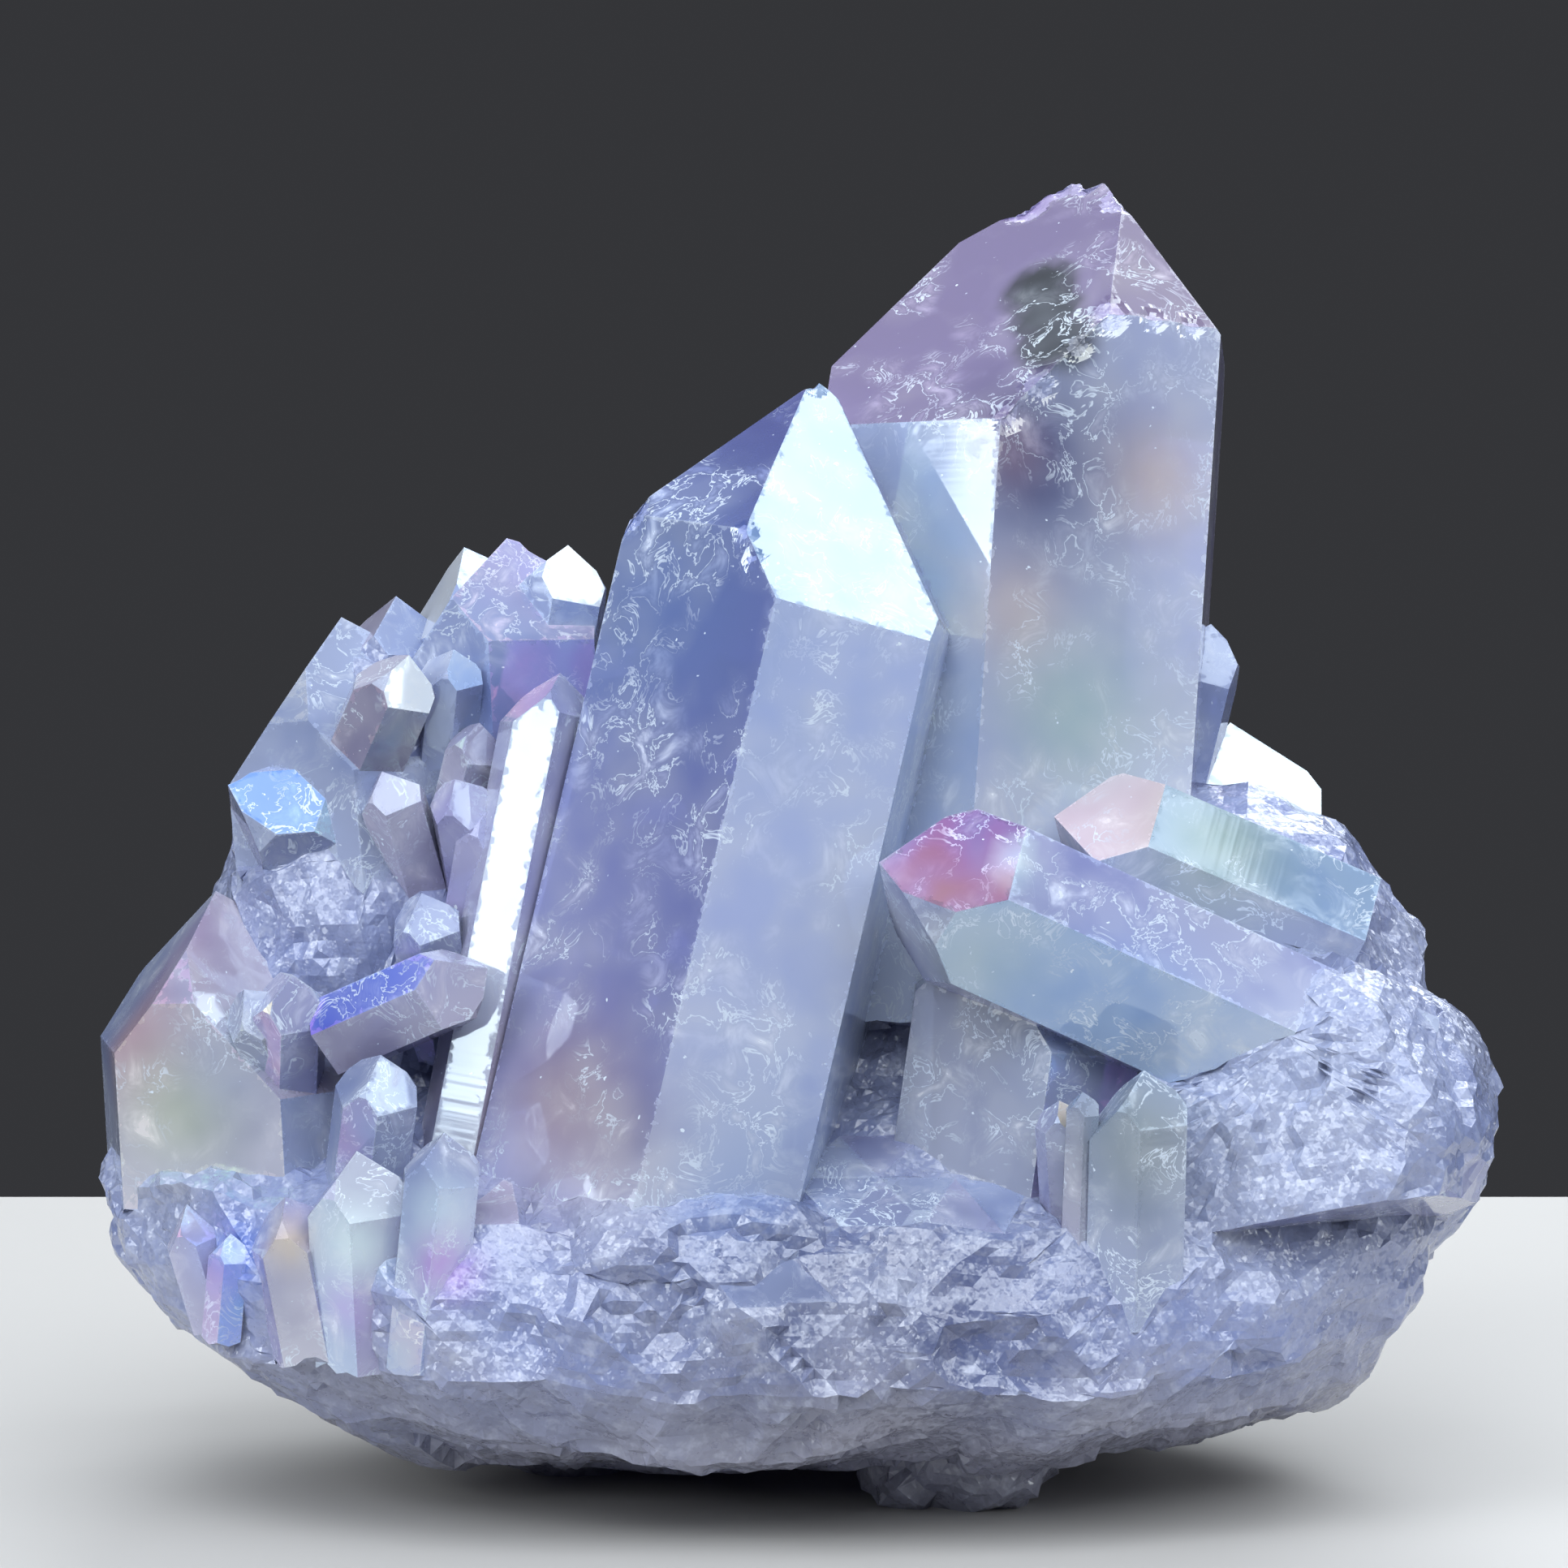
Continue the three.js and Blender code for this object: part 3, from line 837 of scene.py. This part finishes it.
def crystal_material():
    """Coated quartz: clear to milky, with pale marks and a coating whose thickness is set face by face."""
    material, tree, shader = blank_material("aura_crystal")
    place = node(tree, "TexCoord").outputs["Object"]
    milk = attribute(tree, "milk")
    rim = attribute(tree, "rim")
    clouds = cloud(tree, place, **CLOUDS)
    ripple = cloud(tree, place, **RIPPLE)
    grain = cloud(tree, place, **GRAIN)
    veil = spread(tree, maths(tree, "MULTIPLY_ADD", milk, VEIL_AT_FOOT, clouds), VEIL)
    haze = maths(tree, "MULTIPLY", spread(tree, ripple, WISPS), veil)
    # pale marks, partly painted glints and edge highlights
    marks = pale_marks_and_glints(tree, rim, clouds, ripple, grain)

    gamma = maths(tree, "MULTIPLY_ADD", veil, -VEIL_PALES, 1.0)
    gamma = maths(tree, "MULTIPLY_ADD", haze, -HAZE_PALES, gamma)
    paled = node(tree, "Gamma", {"Color": attribute(tree, "tint", "Color"), "Gamma": gamma}).outputs[0]

    milky = maths(tree, "MULTIPLY", milk, MILK_COVERS)
    hazy = maths(tree, "MULTIPLY", haze, HAZE_COVERS)
    uncovered = maths(tree, "SUBTRACT", 1.0, largest(tree, milky, hazy, marks))

    etched = spread(tree, maths(tree, "MULTIPLY_ADD", grain, -ETCHED_WOBBLE, rim), ETCHED_RIM, (1, 0))
    rough_haze = maths(tree, "MULTIPLY", haze, HAZE_ROUGHNESS)
    rough_etching = maths(tree, "MULTIPLY", etched, ETCHED_ROUGHNESS)

    sway = spread(tree, clouds, NOISE_MIDDLE, FILM_SWAY)
    set_inputs(tree, shader, {
        # the pale marks in the base colour are partly painted glints and edge highlights
        "Base Color": mixed(tree, marks, paled, MARK_AND_GLINT_COLOUR),
        "Transmission Weight": maths(tree, "MULTIPLY", attribute(tree, "clear"), uncovered),
        "IOR": QUARTZ_IOR,
        "Roughness": largest(tree, rough_haze, rough_etching, PLAIN_ROUGHNESS),
        "Thin Film Thickness": maths(tree, "MULTIPLY", attribute(tree, "film"), sway),
        "Thin Film IOR": FILM_IOR,
        "Normal": growth_lines(tree),
    })
    absorb(tree)
    return material


def rock_colour(tree, place, clouds, grain):
    """The broken quartz's tint: pale places, a darker foot, painted shade in hollows, painted highlight on
    crests.
    """
    height = node(tree, "SeparateXYZ", {"Vector": place}).outputs["Z"]
    foot = maths(tree, "MULTIPLY_ADD", clouds, -LOW_WOBBLE, height)
    layers = (
        (spread(tree, clouds, PALE_PLACES, (0, PALE_SHARE)), ROCK_PALE),
        (spread(tree, foot, LOW_BAND, (LOW_SHARE, 0)), ROCK_LOW),
        # painted shade where the grain's bump is low
        (spread(tree, grain, SHADED_HOLLOWS, (HOLLOW_SHADE_SHARE, 0)), ROCK_HOLLOW_SHADE),
        # painted highlight where the grain's bump is high
        (spread(tree, grain, LIT_CRESTS, (0, CREST_HIGHLIGHT_SHARE)), ROCK_CREST_HIGHLIGHT),
    )
    colour = attribute(tree, "tint", "Color")
    for share, over in layers:
        colour = mixed(tree, share, colour, over)
    return colour


def rock_normals(tree, place, clouds, grain):
    """Normals of the broken quartz and of its glossy coat, turned cell by cell so that it sparkles."""
    bump = {"Height": grain, "Strength": GRAIN_STRENGTH, "Distance": GRAIN_HEIGHT}
    flow = node(tree, "Bump", bump).outputs[0]
    turn = vector_maths(tree, "SUBTRACT", cell_colours(tree, place, SPARKLE_SIZE), HALF)
    normals = {}
    for socket, (limits, turns) in SPARKLE_TURNS.items():
        turned = vector_maths(tree, "SCALE", turn, scale=spread(tree, clouds, limits, turns))
        normals[socket] = vector_maths(tree, "NORMALIZE", vector_maths(tree, "ADD", flow, turned))
    return normals


def rock_material():
    """Broken quartz: sugary and hardly see-through."""
    material, tree, shader = blank_material("broken_quartz")
    place = node(tree, "TexCoord").outputs["Object"]
    clouds = cloud(tree, place, **ROCK_CLOUDS)
    grain = cloud(tree, place, **ROCK_GRAIN)
    set_inputs(tree, shader, {
        "Base Color": rock_colour(tree, place, clouds, grain),
        "Transmission Weight": ROCK_CLEAR,
        "IOR": QUARTZ_IOR,
        "Specular IOR Level": ROCK_SPECULAR,
        "Roughness": spread(tree, grain, NOISE_MIDDLE, ROCK_ROUGHNESS),
        "Coat Weight": COAT_WEIGHT,
        "Coat Roughness": COAT_ROUGHNESS,
        "Coat IOR": COAT_IOR,
        **rock_normals(tree, place, clouds, grain),
    })
    absorb(tree)
    return material


def floor_material():
    """A plain pale floor."""
    material, tree, shader = blank_material("pale_floor")
    set_inputs(tree, shader, {"Base Color": (*FLOOR_COLOUR, 1), "Roughness": FLOOR_ROUGHNESS})
    return material


# Stage
def floor_object():
    """The floor on which the cluster stands."""
    bpy.ops.mesh.primitive_plane_add(size=2 * FLOOR_REACH, location=(0, 0, 0))
    floor = bpy.context.object
    floor.name = "floor"
    floor.data.materials.append(floor_material())


def direction(azimuth, elevation):
    """A direction from angles in degrees: azimuth 0 towards the viewer, 90 to the right."""
    a, e = math.radians(azimuth), math.radians(elevation)
    return Vector((math.sin(a) * math.cos(e), -math.cos(a) * math.cos(e), math.sin(e)))


def aim_inward(thing, centre, outward, distance):
    """Puts a light or camera at a distance from a centre, and turns it to face that centre."""
    thing.location = centre + outward * distance
    thing.rotation_euler = (-outward).to_track_quat("-Z", "Y").to_euler()


def softbox(name, azimuth, elevation, width, height, brightness):
    """A soft light seen from the object at these angles, its sides given as angles too."""
    light = bpy.data.lights.new(name, "AREA")
    light.shape = "RECTANGLE"
    light.color = LIGHT_COLOUR
    light.size = 2 * LIGHT_DISTANCE * math.tan(math.radians(width / 2))
    light.size_y = 2 * LIGHT_DISTANCE * math.tan(math.radians(height / 2))
    light.energy = brightness * math.pi * light.size * light.size_y
    box = bpy.data.objects.new(name, light)
    bpy.context.scene.collection.objects.link(box)
    aim_inward(box, LIGHT_CENTRE, direction(azimuth, elevation), LIGHT_DISTANCE)


def studio():
    """A plain dim surround and the soft lights."""
    world = bpy.data.worlds.new("studio")
    bpy.context.scene.world = world
    world.use_nodes = True
    world.node_tree.nodes["Background"].inputs["Color"].default_value = (*WORLD_COLOUR, 1)
    for values in SOFTBOXES:
        softbox(*values)


def camera_object():
    """A long lens in front, a little above level."""
    camera = bpy.data.objects.new("camera", bpy.data.cameras.new("camera"))
    bpy.context.scene.collection.objects.link(camera)
    aim_inward(camera, CAMERA_TARGET, direction(0, CAMERA_ELEVATION), CAMERA_DISTANCE)
    camera.data.lens = CAMERA_LENS
    bpy.context.scene.camera = camera


cluster = cluster_object()
cluster.data.materials.append(crystal_material())
cluster.data.materials.append(rock_material())
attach(cluster, "root")
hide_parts("quartz_cluster")

floor_object()
studio()
camera_object()
bpy.context.scene.view_settings.view_transform = "Standard"
bpy.context.scene.cycles.diffuse_bounces = DIFFUSE_BOUNCES
bpy.context.scene.cycles.max_bounces = ALL_BOUNCES
bpy.context.scene.cycles.use_light_tree = False
